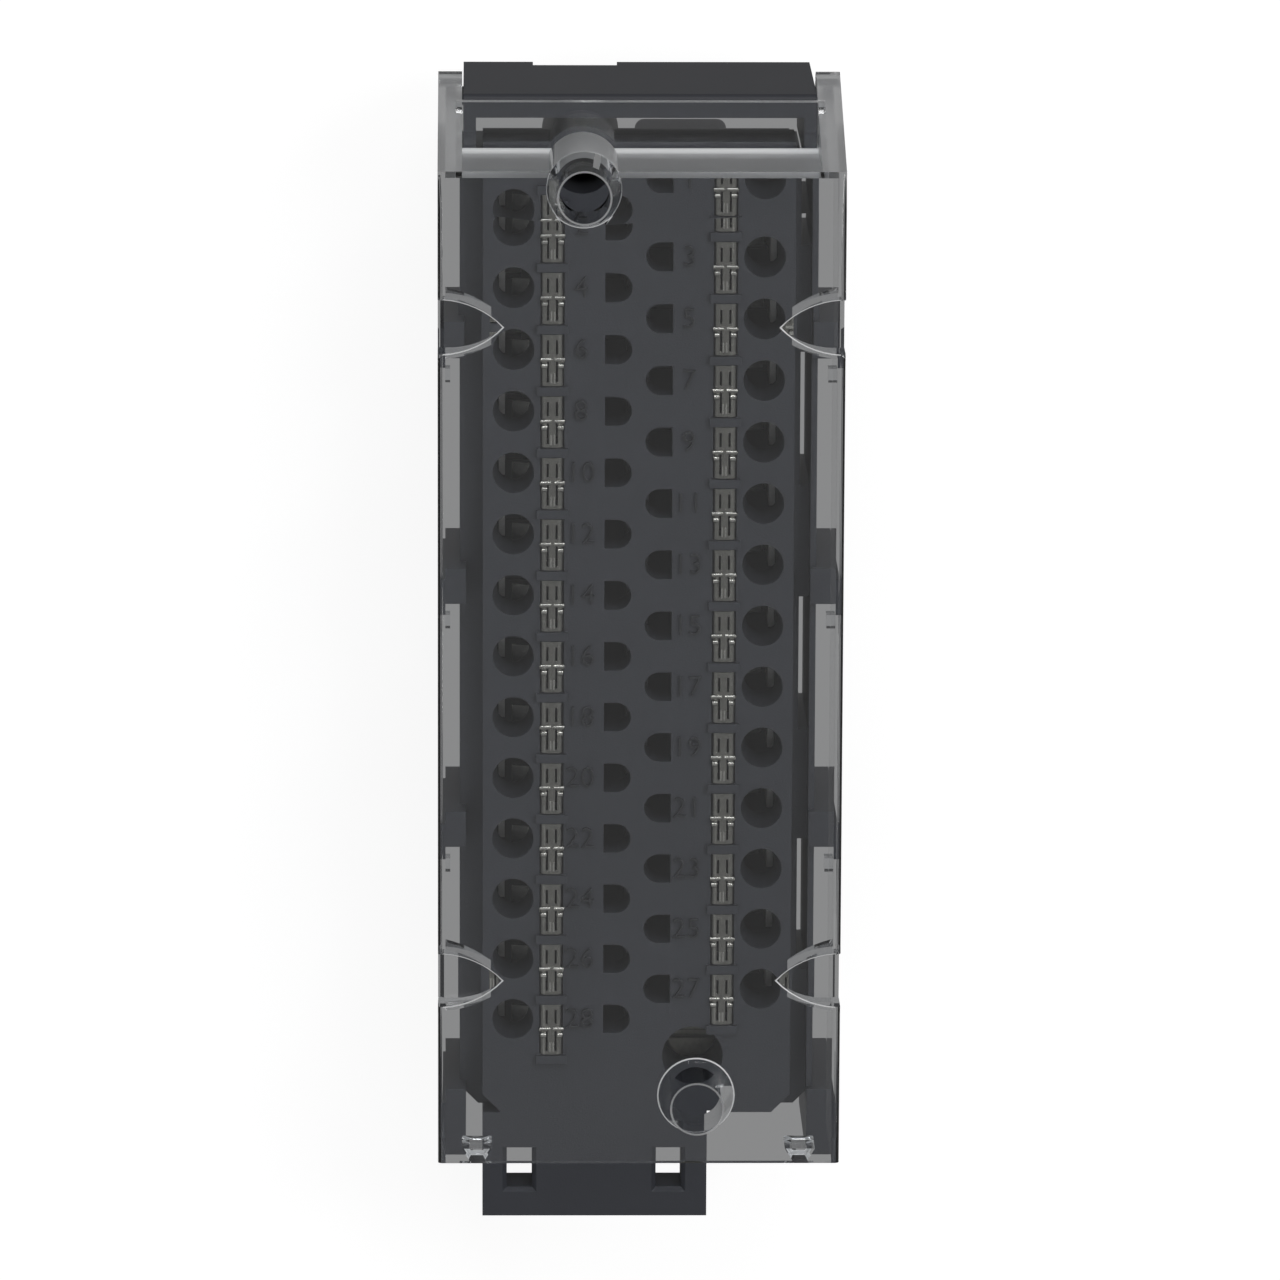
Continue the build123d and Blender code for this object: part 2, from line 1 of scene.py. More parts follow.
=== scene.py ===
"""Looks of a removable spring terminal block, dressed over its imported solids.

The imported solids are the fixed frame. Each one gets its finish here. The clear cover and the two
screws are swapped for smoother and finer pieces of the same size. The cell numbers are added, and
so are the folds that are pressed into the clamp springs.
"""

import json
import logging
import math
from dataclasses import dataclass, field
from enum import Enum

import bmesh
import bpy
from mathutils import Matrix, Vector


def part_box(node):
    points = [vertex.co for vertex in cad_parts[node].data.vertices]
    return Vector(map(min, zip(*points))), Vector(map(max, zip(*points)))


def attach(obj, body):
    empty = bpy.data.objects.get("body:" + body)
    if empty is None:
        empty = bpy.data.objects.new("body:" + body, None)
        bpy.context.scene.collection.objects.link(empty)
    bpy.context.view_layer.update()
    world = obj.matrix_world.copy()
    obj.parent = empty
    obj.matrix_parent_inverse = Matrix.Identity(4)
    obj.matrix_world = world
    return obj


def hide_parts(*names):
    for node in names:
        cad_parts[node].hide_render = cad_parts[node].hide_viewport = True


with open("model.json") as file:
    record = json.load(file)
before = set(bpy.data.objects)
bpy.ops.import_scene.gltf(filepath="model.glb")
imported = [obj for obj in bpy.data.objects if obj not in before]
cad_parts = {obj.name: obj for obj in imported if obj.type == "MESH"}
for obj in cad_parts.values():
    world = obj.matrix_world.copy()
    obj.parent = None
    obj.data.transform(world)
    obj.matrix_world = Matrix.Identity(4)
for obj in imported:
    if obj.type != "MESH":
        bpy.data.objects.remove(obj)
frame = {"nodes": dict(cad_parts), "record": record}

LOG = logging.getLogger("terminal_block")
MM = 0.001
CELLS = 28
WHITE = "#FFFFFF"
BLACK = "#000000"
# The colour sockets of a Mix node, by their place among its inputs.
FIRST_COLOUR, SECOND_COLOUR = 6, 7
MIXED_COLOUR = 2


class Column(Enum):
    """The two columns of cells, by their sign along X."""

    LEFT = -1
    RIGHT = 1

    def numbers(self) -> range:
        """Counts the cells from the hinge end down, even on the left and odd on the right.

        Returns:
            The cells' numbers.
        """
        return range(2 if self is Column.LEFT else 1, CELLS + 1, 2)


class Fixing(Enum):
    """The two captive screws, by their name in the solids."""

    UPPER = "upper"
    LOWER = "lower"


def linear(hex_colour: str) -> tuple[float, float, float, float]:
    """Turns an sRGB hex colour into the linear colour that a shader takes.

    Args:
        hex_colour: six hex digits, with or without a leading hash.

    Returns:
        Red, green, blue and an alpha of one.
    """
    # The curve of the sRGB standard.
    digits = hex_colour.lstrip("#")
    shares = [int(digits[i : i + 2], 16) / 255 for i in (0, 2, 4)]
    curve = [s / 12.92 if s <= 0.04045 else ((s + 0.055) / 1.055) ** 2.4 for s in shares]
    return (*curve, 1.0)


def add_node(
    tree: bpy.types.NodeTree,
    kind: str,
    settings: dict[str | int, object] | None = None,
    links: dict[str | int, bpy.types.NodeSocket] | None = None,
) -> bpy.types.Node:
    """Adds one node, sets its properties and sockets, and wires its inputs.

    Args:
        tree: the node tree that takes the node.
        kind: the node's Blender type.
        settings: values by property name, or by socket name or number.
        links: outputs of other nodes, by the socket that they feed.

    Returns:
        The new node.
    """
    made = tree.nodes.new(kind)
    for key, value in (settings or {}).items():
        if isinstance(key, str) and hasattr(made, key):
            setattr(made, key, value)
        else:
            made.inputs[key].default_value = value
    for key, output in (links or {}).items():
        tree.links.new(output, made.inputs[key])
    return made


def new_material(name: str) -> tuple[bpy.types.Material, bpy.types.NodeTree]:
    """Makes an empty node material.

    Args:
        name: the material's name.

    Returns:
        The material and its cleared node tree.
    """
    material = bpy.data.materials.new(name)
    material.use_nodes = True
    material.node_tree.nodes.clear()
    return material, material.node_tree


def either_ray(
    tree: bpy.types.NodeTree, path: bpy.types.Node, first: str, second: str
) -> bpy.types.NodeSocket:
    """Adds a switch that is on for two kinds of ray.

    Args:
        tree: the node tree that takes the switch.
        path: its Light Path node.
        first: the output of that node for one kind.
        second: the output for the other kind.

    Returns:
        The switch's output.
    """
    links = {0: path.outputs[first], 1: path.outputs[second]}
    return add_node(tree, "ShaderNodeMath", {"operation": "MAXIMUM"}, links).outputs[0]


def finish_clear(tree: bpy.types.NodeTree, surface: bpy.types.Node, passed_light: str) -> None:
    """Ends a clear material, so that the lamps' light passes to what it covers.

    Args:
        tree: the material's node tree.
        surface: the shader that the eye sees.
        passed_light: the tint of the light that passes.
    """
    passing = add_node(tree, "ShaderNodeBsdfTransparent", {"Color": linear(passed_light)})
    path = add_node(tree, "ShaderNodeLightPath")
    lighting = either_ray(tree, path, "Is Shadow Ray", "Is Diffuse Ray")
    mixed = add_node(
        tree,
        "ShaderNodeMixShader",
        links={0: lighting, 1: surface.outputs[0], 2: passing.outputs[0]},
    )
    add_node(tree, "ShaderNodeOutputMaterial", links={"Surface": mixed.outputs[0]})


@dataclass(frozen=True)
class MouldedPlastic:
    """Glass-filled polyamide from a spark-eroded mould: dark, satin and finely pitted."""

    name: str = "charcoal_polyamide"
    colour: str = "#33353B"
    worn_colour: str = "#3A3C43"
    roughness: float = 0.52
    # The eroded texture is about 0.06 mm; it is drawn at 0.16 mm, or no pixel would show it.
    grain_mm: float = 0.16
    grain_depth_mm: float = 0.012
    grain_detail: float = 2.0
    cloud_mm: float = 9.0
    cloud_detail: float = 3.0
    edge_radius_mm: float = 0.07
    edge_samples: int = 4
    ior: float = 1.53

    def build(self) -> bpy.types.Material:
        """Makes the material, with softened edges under the eroded grain."""
        material, tree = new_material(self.name)
        place = add_node(tree, "ShaderNodeTexCoord").outputs["Object"]
        cloud = add_node(
            tree,
            "ShaderNodeTexNoise",
            {"Scale": 1 / (self.cloud_mm * MM), "Detail": self.cloud_detail},
            {"Vector": place},
        )
        tint = add_node(
            tree,
            "ShaderNodeMix",
            {
                "data_type": "RGBA",
                FIRST_COLOUR: linear(self.colour),
                SECOND_COLOUR: linear(self.worn_colour),
            },
            {0: cloud.outputs["Fac"]},
        )
        grain = add_node(
            tree,
            "ShaderNodeTexNoise",
            {"Scale": 1 / (self.grain_mm * MM), "Detail": self.grain_detail},
            {"Vector": place},
        )
        edge = add_node(
            tree,
            "ShaderNodeBevel",
            {"samples": self.edge_samples, "Radius": self.edge_radius_mm * MM},
        )
        bump = add_node(
            tree,
            "ShaderNodeBump",
            {"Strength": 1.0, "Distance": self.grain_depth_mm * MM},
            {"Height": grain.outputs["Fac"], "Normal": edge.outputs["Normal"]},
        )
        surface = add_node(
            tree,
            "ShaderNodeBsdfPrincipled",
            {"Roughness": self.roughness, "IOR": self.ior},
            {"Base Color": tint.outputs[MIXED_COLOUR], "Normal": bump.outputs["Normal"]},
        )
        add_node(tree, "ShaderNodeOutputMaterial", links={"Surface": surface.outputs[0]})
        return material


@dataclass(frozen=True)
class ClearPolycarbonate:
    """Polished polycarbonate: clear as glass, shining along its edges, with a faint haze. Its less
    clear, lighter copies paint glints and reflections onto the cover.
    """

    name: str = "clear_polycarbonate"
    colour: str = "#F6F7F8"
    roughness: float = 0.0
    ior: float = 1.585
    clearness: float = 1.0
    passed_light: str = "#F2F3F4"

    def build(self) -> bpy.types.Material:
        """Makes the material, which lets the lamps' light through to what it covers."""
        material, tree = new_material(self.name)
        surface = add_node(
            tree,
            "ShaderNodeBsdfPrincipled",
            {
                "Base Color": linear(self.colour),
                "Roughness": self.roughness,
                "IOR": self.ior,
                "Transmission Weight": self.clearness,
            },
        )
        finish_clear(tree, surface, self.passed_light)
        return material


@dataclass(frozen=True)
class ThinClearWall:
    """A thin polished wall: what is behind it shows unbent, and it mirrors more at its sides."""

    name: str = "thin_clear_wall"
    tint: str = "#F4F5F6"
    roughness: float = 0.04
    steepness: float = 6.0
    front_mirror: float = 0.03
    side_mirror: float = 0.6
    blend: float = 0.5
    unbent_ior: float = 1.0

    def build(self) -> bpy.types.Material:
        """Makes the material, with more gloss where the wall is seen edge on."""
        material, tree = new_material(self.name)
        unbent = add_node(
            tree,
            "ShaderNodeBsdfRefraction",
            {"Color": linear(self.tint), "Roughness": 0.0, "IOR": self.unbent_ior},
        )
        gloss = add_node(
            tree,
            "ShaderNodeBsdfGlossy",
            {"Color": linear(self.tint), "Roughness": self.roughness},
        )
        side = add_node(tree, "ShaderNodeLayerWeight", {"Blend": self.blend}).outputs["Facing"]
        steep = add_node(
            tree, "ShaderNodeMath", {"operation": "POWER", 1: self.steepness}, {0: side}
        )
        mirror = add_node(
            tree,
            "ShaderNodeMath",
            {"operation": "MULTIPLY_ADD", 1: self.side_mirror, 2: self.front_mirror},
            {0: steep.outputs[0]},
        )
        wall = add_node(
            tree,
            "ShaderNodeMixShader",
            links={0: mirror.outputs[0], 1: unbent.outputs[0], 2: gloss.outputs[0]},
        )
        finish_clear(tree, wall, self.tint)
        return material


@dataclass(frozen=True)
class RolledMetal:
    """Metal strip or bar with the fine lines of rolling, drawn along one direction."""

    name: str
    colour: str
    dark_colour: str
    roughness: float
    line_mm: tuple[float, float, float] = (1.6, 0.09, 1.6)
    line_depth_mm: float = 0.0015
    line_detail: float = 2.0
    stain_mm: float = 0.35
    stain_detail: float = 3.0
    gloss_share: tuple[float, float] = (0.75, 1.25)
    fold_radius_mm: float = 0.018
    fold_samples: int = 6

    def build(self) -> bpy.types.Material:
        """Makes the material, with softened folds and rolling lines in its bump and roughness."""
        material, tree = new_material(self.name)
        place = add_node(tree, "ShaderNodeTexCoord").outputs["Object"]
        along = add_node(
            tree,
            "ShaderNodeMapping",
            {"Scale": tuple(1 / (size * MM) for size in self.line_mm)},
            {"Vector": place},
        )
        lines = add_node(
            tree,
            "ShaderNodeTexNoise",
            {"Scale": 1.0, "Detail": self.line_detail},
            {"Vector": along.outputs["Vector"]},
        )
        stain = add_node(
            tree,
            "ShaderNodeTexNoise",
            {"Scale": 1 / (self.stain_mm * MM), "Detail": self.stain_detail},
            {"Vector": place},
        )
        tint = add_node(
            tree,
            "ShaderNodeMix",
            {
                "data_type": "RGBA",
                FIRST_COLOUR: linear(self.dark_colour),
                SECOND_COLOUR: linear(self.colour),
            },
            {0: stain.outputs["Fac"]},
        )
        least, most = (self.roughness * share for share in self.gloss_share)
        gloss = add_node(
            tree,
            "ShaderNodeMapRange",
            {"To Min": least, "To Max": most},
            {"Value": lines.outputs["Fac"]},
        )
        fold = add_node(
            tree,
            "ShaderNodeBevel",
            {"samples": self.fold_samples, "Radius": self.fold_radius_mm * MM},
        )
        bump = add_node(
            tree,
            "ShaderNodeBump",
            {"Strength": 1.0, "Distance": self.line_depth_mm * MM},
            {"Height": lines.outputs["Fac"], "Normal": fold.outputs["Normal"]},
        )
        surface = add_node(
            tree,
            "ShaderNodeBsdfPrincipled",
            {"Metallic": 1.0},
            {
                "Base Color": tint.outputs[MIXED_COLOUR],
                "Roughness": gloss.outputs[0],
                "Normal": bump.outputs["Normal"],
            },
        )
        add_node(tree, "ShaderNodeOutputMaterial", links={"Surface": surface.outputs[0]})
        return material


@dataclass(frozen=True)
class StudioWhite:
    """The floor and the backdrop: white to the camera, and a quiet grey in metal and glass."""

    name: str = "studio_floor"
    floor_colour: str = "#9A9A9A"
    shown: float = 0.86
    mirrored: float = 0.27

    def seen(self, tree: bpy.types.NodeTree, shown: float) -> bpy.types.NodeSocket:
        """Adds the level at which each kind of ray sees the white.

        Args:
            tree: the floor's or the world's node tree.
            shown: the level for the camera.

        Returns:
            The output that holds the level.
        """
        path = add_node(tree, "ShaderNodeLightPath")
        others = either_ray(tree, path, "Is Glossy Ray", "Is Transmission Ray")
        quiet = add_node(
            tree,
            "ShaderNodeMath",
            {"operation": "MULTIPLY", 1: self.mirrored},
            {0: others},
        )
        level = add_node(
            tree,
            "ShaderNodeMath",
            {"operation": "MULTIPLY_ADD", 1: shown},
            {0: path.outputs["Is Camera Ray"], 2: quiet.outputs[0]},
        )
        return level.outputs[0]

    def build_floor(self) -> bpy.types.Material:
        """Makes the floor's material, which keeps a faint shadow of the object."""
        material, tree = new_material(self.name)
        glow = add_node(
            tree,
            "ShaderNodeEmission",
            {"Color": linear(WHITE)},
            {"Strength": self.seen(tree, self.shown)},
        )
        path = add_node(tree, "ShaderNodeLightPath")
        others = either_ray(tree, path, "Is Glossy Ray", "Is Transmission Ray")
        matt = add_node(tree, "ShaderNodeBsdfDiffuse", {"Color": linear(self.floor_colour)})
        black = add_node(tree, "ShaderNodeBsdfDiffuse", {"Color": linear(BLACK)})
        lit = add_node(
            tree,
            "ShaderNodeMixShader",
            links={0: others, 1: matt.outputs[0], 2: black.outputs[0]},
        )
        both = add_node(
            tree, "ShaderNodeAddShader", links={0: glow.outputs[0], 1: lit.outputs[0]}
        )
        add_node(tree, "ShaderNodeOutputMaterial", links={"Surface": both.outputs[0]})
        return material


@dataclass
class Finishes:
    """Every finish of the block, each made once."""

    housing: bpy.types.Material = field(init=False)
    base: bpy.types.Material = field(init=False)
    cover: bpy.types.Material = field(init=False)
    misted: bpy.types.Material = field(init=False)
    bright: bpy.types.Material = field(init=False)
    thin: bpy.types.Material = field(init=False)
    numbers: bpy.types.Material = field(init=False)
    spring: bpy.types.Material = field(init=False)
    fold: bpy.types.Material = field(init=False)
    contact: bpy.types.Material = field(init=False)
    screw: bpy.types.Material = field(init=False)

    def __post_init__(self) -> None:
        """Builds the materials."""
        self.housing = MouldedPlastic().build()
        self.base = MouldedPlastic(name="black_polyamide", colour="#2B2C30").build()
        self.cover = ClearPolycarbonate().build()
        # A misted, lighter copy of the cover: its grey is painted reflection on the step, the ears
        # and the tubes.
        self.misted = ClearPolycarbonate(
            name="painted_reflection_polycarbonate", roughness=0.3, clearness=0.68
        ).build()
        # A nearly opaque white copy of the cover for the rounded and eased strips: painted glints.
        self.bright = ClearPolycarbonate(
            name="painted_glint_polycarbonate", roughness=0.2, clearness=0.1
        ).build()
        self.thin = ThinClearWall().build()
        # The numbers are a darker copy of the housing plastic: painted shade standing in for the
        # shadow along their strokes.
        self.numbers = MouldedPlastic(
            name="numbers_painted_shade_polyamide", colour="#232428", worn_colour="#2A2B2F"
        ).build()
        self.spring = RolledMetal(
            name="spring_steel_strip", colour="#A5A49E", dark_colour="#8F8E88", roughness=0.2
        ).build()
        # The folds get a lighter copy of the spring steel, so that their glints come out whiter:
        # painted highlight.
        self.fold = RolledMetal(
            name="spring_steel_painted_glint", colour="#D6D5CF", dark_colour="#C2C1BB", roughness=0.2
        ).build()
        self.contact = RolledMetal(
            name="tinned_copper", colour="#D6D6D4", dark_colour="#BCBCBA", roughness=0.42
        ).build()
        self.screw = RolledMetal(
            name="plated_steel", colour="#86857C", dark_colour="#66655E", roughness=0.36
        ).build()


def dress(node: str, material: bpy.types.Material) -> None:
    """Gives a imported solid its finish, in every material slot that it has.

    Args:
        node: the solid's name.
        material: its finish.
    """
    solid = frame["nodes"][node]
    if not solid.data.materials:
        solid.data.materials.append(material)
    for slot in solid.material_slots:
        slot.material = material
    LOG.info("%s: %s", node, material.name)


def make_piece(
    bm: bmesh.types.BMesh,
    name: str,
    material: bpy.types.Material,
    body: str,
    sharp_deg: float = 32.0,
) -> bpy.types.Object:
    """Turns a finished bmesh into a piece that rides on a body.

    Args:
        bm: the shape, in metres in the shared frame; it is freed.
        name: the piece's name.
        material: its finish.
        body: the body that it rides on.
        sharp_deg: edges that turn by more than this stay sharp.

    Returns:
        The new object.
    """
    mesh = bpy.data.meshes.new(name)
    for face in bm.faces:
        face.smooth = True
    bm.to_mesh(mesh)
    bm.free()
    mesh.set_sharp_from_angle(angle=math.radians(sharp_deg))
    mesh.materials.append(material)
    piece = bpy.data.objects.new(name, mesh)
    bpy.context.scene.collection.objects.link(piece)
    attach(piece, body)
    LOG.info("%s: %d faces on %s", name, len(mesh.polygons), body)
    return piece


@dataclass
class CellNumbers:
    """The raised numbers beside the clamps, even on the left and odd on the right."""

    material: bpy.types.Material
    digit_height_mm: float = 1.75
    # The built-in font's digits are this share of its size.
    digit_share: float = 0.73
    relief_mm: float = 0.34
    sink_mm: float = 0.03
    face_z_mm: float = 24.5
    row_above_clamp_mm: float = 0.83
    left_middle_mm: float = -4.6
    right_middle_mm: float = 4.0
    curve_steps: int = 3
    thinned_mm: float = 0.022
    # Thinning turns the shortest edges of the digits over, so their ends are merged.
    merge_mm: float = 0.02

    def digits(self, number: int) -> bpy.types.Mesh:
        """Makes one number as a mesh about the origin.

        Args:
            number: the number to write.

        Returns:
            The mesh, which the caller removes.
        """
        curve = bpy.data.curves.new("number", "FONT")
        curve.body = str(number)
        curve.size = self.digit_height_mm / self.digit_share * MM
        curve.extrude = (self.relief_mm + self.sink_mm) / 2 * MM
        curve.offset = -self.thinned_mm * MM
        curve.align_x = "CENTER"
        curve.align_y = "CENTER"
        curve.resolution_u = self.curve_steps
        writing = bpy.data.objects.new("number", curve)
        bpy.context.scene.collection.objects.link(writing)
        mesh = bpy.data.meshes.new_from_object(writing)
        bpy.data.objects.remove(writing)
        bpy.data.curves.remove(curve)
        return mesh

    def build(self, column: Column) -> bpy.types.Object:
        """Makes one column of numbers as a piece.

        Args:
            column: the column to make.

        Returns:
            The piece, on the block.
        """
        middle = self.left_middle_mm if column is Column.LEFT else self.right_middle_mm
        height = self.face_z_mm + (self.relief_mm - self.sink_mm) / 2
        bm = bmesh.new()
        for number in column.numbers():
            low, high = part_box(f"clamp_spring_{number:02d}")
            mesh = self.digits(number)
            row = (low.y + high.y) / 2 + self.row_above_clamp_mm * MM
            mesh.transform(Matrix.Translation((middle * MM, row, height * MM)))
            bm.from_mesh(mesh)
            bpy.data.meshes.remove(mesh)
        bmesh.ops.remove_doubles(bm, verts=bm.verts, dist=self.merge_mm * MM)
        name = f"cell_numbers_{column.name.lower()}"
        return make_piece(bm, name, self.material, "block")


@dataclass(frozen=True)
class Fold:
    """One pressed fold of a clamp spring, as a thin bar half sunk in the strip."""

    middle_mm: tuple[float, float]
    length_mm: float
    radius_mm: float
    rise_mm: float
    along: str = "X"

    def turn(self) -> Matrix:
        """Finds the turn that lays a bar, made upright, along its own direction.

        Returns:
            The turn.
        """
        across = "Y" if self.along == "X" else "X"
        return Matrix.Rotation(math.radians(90), 4, across)


@dataclass
class PressedFolds:
    """The folds, cups and tongue ribs pressed into one column of clamp springs."""

    material: bpy.types.Material
    segments: int = 28
    clamp_x_mm: float = 6.85
    face_z_mm: float = 24.5
    spring_rise_mm: float = 0.3
    folds: tuple[Fold, ...] = (
        Fold((-0.545, 0.08), 0.82, 0.165, 0.0),
        Fold((0.545, 0.08), 0.82, 0.165, 0.0),
        Fold((-0.65, -0.44), 0.38, 0.21, -0.06),
        Fold((0.65, -0.44), 0.38, 0.21, -0.06),
        Fold((-0.14, -1.42), 0.8, 0.09, 0.05, "Y"),
        Fold((0.13, -1.42), 0.8, 0.09, 0.05, "Y"),
    )

    def build(self, column: Column) -> bpy.types.Object:
        """Makes one column's folds as a piece.

        Args:
            column: the column to make.

        Returns:
            The piece, on the block.
        """
        bm = bmesh.new()
        for number in column.numbers():
            low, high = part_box(f"clamp_spring_{number:02d}")
            middle_y = (low.y + high.y) / 2 / MM
            for fold in self.folds:
                x, y = fold.middle_mm
                z = self.face_z_mm + self.spring_rise_mm + fold.rise_mm
                place = Vector((column.value * self.clamp_x_mm + x, middle_y + y, z)) * MM
                bmesh.ops.create_cone(
                    bm,
                    cap_ends=True,
                    segments=self.segments,
                    radius1=fold.radius_mm * MM,
                    radius2=fold.radius_mm * MM,
                    depth=fold.length_mm * MM,
                    matrix=Matrix.Translation(place) @ fold.turn(),
                )
        name = f"pressed_folds_{column.name.lower()}"
        return make_piece(bm, name, self.material, "block")


@dataclass
class ClearCover:
    """The hinged cover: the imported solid's own form, merged, smoothed and eased at its edges."""

    material: bpy.types.Material
    misted: bpy.types.Material
    bright: bpy.types.Material
    thin: bpy.types.Material
    merge_mm: float = 0.002
    flat_deg: float = 0.6
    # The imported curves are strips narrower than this; a wider face is a flat one.
    strip_mm: float = 0.75
    # The step behind the front, and the ears, get a misted, lighter copy of the cover, whose grey
    # paints the reflection on these walls.
    step_y_mm: float = 40.4
    ear_x_mm: tuple[float, float] = (14.0, 14.7)
    facing: float = 0.9
    # So does the wall of the upper tube where it stands out behind the step, where the grey paints
    # the light it catches.
    step_z_mm: tuple[float, float] = (27.6, 37.3)
    tube_back_mm: float = 41.25
    tube_half_mm: float = 6.8
    # The step's foot is rounded, inside and outside.
    foot_mm: dict[tuple[float, float], float] = field(
        default_factory=lambda: {(41.2, 27.5): 0.4, (40.6, 26.3): 0.6}
    )
    foot_steps: int = 5
    round_profile: float = 0.5
    front_mm: float = 37.4
    # The edges of the tubes' feet and of the finger scoops are eased, and their strips take the
    # painted glint.
    rim_ease_mm: float = 0.09
    rim_steps: int = 2
    rim_slack_mm: float = 0.01
    tube_foot_mm: tuple[float, float] = (2.2, 3.4)
    tube_top_mm: float = 41.0
    scoop_y_mm: tuple[tuple[float, float], ...] = ((26.6, 31.3), (-26.1, -21.4))
    scoop_x_mm: tuple[float, float] = (10.5, 15.58)
    wall_x_mm: float = 15.9
    # So are the lower edges of the hooks in the open end's corners.
    hook_ease_mm: float = 0.2
    hook_z_mm: float = 32.2
    hook_x_mm: tuple[float, float] = (11.5, 14.3)
    hook_y_mm: float = 0.9
    open_end_mm: float = field(init=False)
    tubes_mm: list[Vector] = field(init=False)

    def __post_init__(self) -> None:
        """Finds the cover's open end, and the tubes, which stand over the screws."""
        self.open_end_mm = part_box("clear_cover")[0].y / MM
        boxes = [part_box(f"{fixing.value}_screw") for fixing in Fixing]
        self.tubes_mm = [(low + high) / 2 / MM for low, high in boxes]

    def is_misted(self, face: bmesh.types.BMFace) -> bool:
        """Tells the walls of the step, of the ears and of the tube's back from the clear ones.

        Args:
            face: the face to judge.

        Returns:
            True for a wall that takes the painted reflection.
        """
        middle = face.calc_center_median() / MM
        low_x, high_x = self.ear_x_mm
        step = face.normal.y > self.facing
        ear = abs(face.normal.x) > self.facing and low_x < abs(middle.x) < high_x
        wall = self.is_flat(face) and middle.y > self.step_y_mm and (step or ear)
        low_z, high_z = self.step_z_mm
        upright = abs(face.normal.z) < 1 - self.facing
        behind = middle.y > self.tube_back_mm and abs(middle.x) <= self.tube_half_mm
        return wall or (behind and upright and low_z < middle.z < high_z)

    def is_top(self, face: bmesh.types.BMFace) -> bool:
        """Tells the rings on top of the tubes, which take the painted reflection too.

        Args:
            face: the face to judge.

        Returns:
            True for such a ring's face.
        """
        level = face.calc_center_median().z / MM
        return face.normal.z > self.facing and level > self.tube_top_mm

    def in_scoop(self, place: Vector) -> bool:
        """Tells whether a place is within a finger scoop.

        Args:
            place: the place, in millimetres.

        Returns:
            True within a scoop.
        """
        low_x, _ = self.scoop_x_mm
        beside = low_x < abs(place.x) < self.wall_x_mm
        return beside and any(low < place.y < high for low, high in self.scoop_y_mm)

    def is_thin(self, face: bmesh.types.BMFace) -> bool:
        """Tells the tubes' walls and the scoops' upright walls from the rest.

        Args:
            face: the face to judge.

        Returns:
            True for a thin wall.
        """
        middle = face.calc_center_median() / MM
        tube = middle.z > self.front_mm + self.rim_slack_mm
        upright = abs(face.normal.z) < 1 - self.facing
        sideways = abs(face.normal.x) > self.facing
        return tube or (self.in_scoop(middle) and upright and not sideways)

    def is_rim(self, edge: bmesh.types.BMEdge) -> bool:
        """Tells the front's edges round the tubes' feet and the scoops.

        Args:
            edge: the edge to judge.

        Returns:
            True for such an edge.
        """
        ends = [vert.co / MM for vert in edge.verts]
        if any(abs(end.z - self.front_mm) > self.rim_slack_mm for end in ends):
            return False
        if len(edge.link_faces) != 2:
            return False
        _, high_x = self.scoop_x_mm
        if all(self.in_scoop(end) for end in ends) and min(abs(e.x) for e in ends) < high_x:
            return True
        low, high = self.tube_foot_mm
        return any(
            all(low < (end - tube).xy.length < high for end in ends) for tube in self.tubes_mm
        )

    def is_hook(self, edge: bmesh.types.BMEdge) -> bool:
        """Tells the lower edges of the corner hooks, apart from those at their backs.

        Args:
            edge: the edge to judge.

        Returns:
            True for such an edge.
        """
        low_x, high_x = self.hook_x_mm
        ends = [vert.co / MM for vert in edge.verts]
        level = all(abs(end.z - self.hook_z_mm) < self.rim_slack_mm for end in ends)
        inside = all(low_x < abs(end.x) < high_x for end in ends)
        tip = min(end.y for end in ends) < self.open_end_mm + self.hook_y_mm
        return level and inside and tip

    def round_foot(self, bm: bmesh.types.BMesh) -> list[bmesh.types.BMFace]:
        """Rounds the foot of the step along the cover's width.

        Args:
            bm: the merged cover.

        Returns:
            The rounded strips, which take the painted glint.
        """
        strips = []
        for (foot_y, foot_z), radius in self.foot_mm.items():
            place = Vector((0.0, foot_y, foot_z)) * MM
            edges = [
                edge
                for edge in bm.edges
                if edge.calc_length() > radius * MM
                and all(
                    math.hypot(vert.co.y - place.y, vert.co.z - place.z) < self.merge_mm * MM
                    for vert in edge.verts
                )
            ]
            strips += bmesh.ops.bevel(
                bm,
                geom=edges,
                offset=radius * MM,
                affect="EDGES",
                segments=self.foot_steps,
                profile=self.round_profile,
                material=-1,
            )["faces"]
        return strips

    def is_flat(self, face: bmesh.types.BMFace) -> bool:
        """Tells a flat wall from one of the narrow strips of a curve.

        Args:
            face: the face to judge.

        Returns:
            True for a flat wall.
        """
        length = max(edge.calc_length() for edge in face.edges)
        return face.calc_area() / length > self.strip_mm * MM

    def build(self) -> bpy.types.Object:
        """Makes the cover's piece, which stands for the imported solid."""
        bm = bmesh.new()
        bm.from_mesh(frame["nodes"]["clear_cover"].data)
        bmesh.ops.remove_doubles(bm, verts=bm.verts, dist=self.merge_mm * MM)
        bmesh.ops.dissolve_limit(
            bm,
            angle_limit=math.radians(self.flat_deg),
            verts=bm.verts,
            edges=bm.edges,
            delimit=set(),
        )
        strips = self.round_foot(bm)
        eases = ((self.is_rim, self.rim_ease_mm), (self.is_hook, self.hook_ease_mm))
        for is_eased, ease in eases:
            strips += bmesh.ops.bevel(
                bm,
                geom=[edge for edge in bm.edges if is_eased(edge)],
                offset=ease * MM,
                affect="EDGES",
                segments=self.rim_steps,
                profile=self.round_profile,
                material=-1,
            )["faces"]
        flats = [self.is_flat(face) for face in bm.faces]
        finishes = [self.material, self.misted, self.bright, self.thin]
        for face in bm.faces:
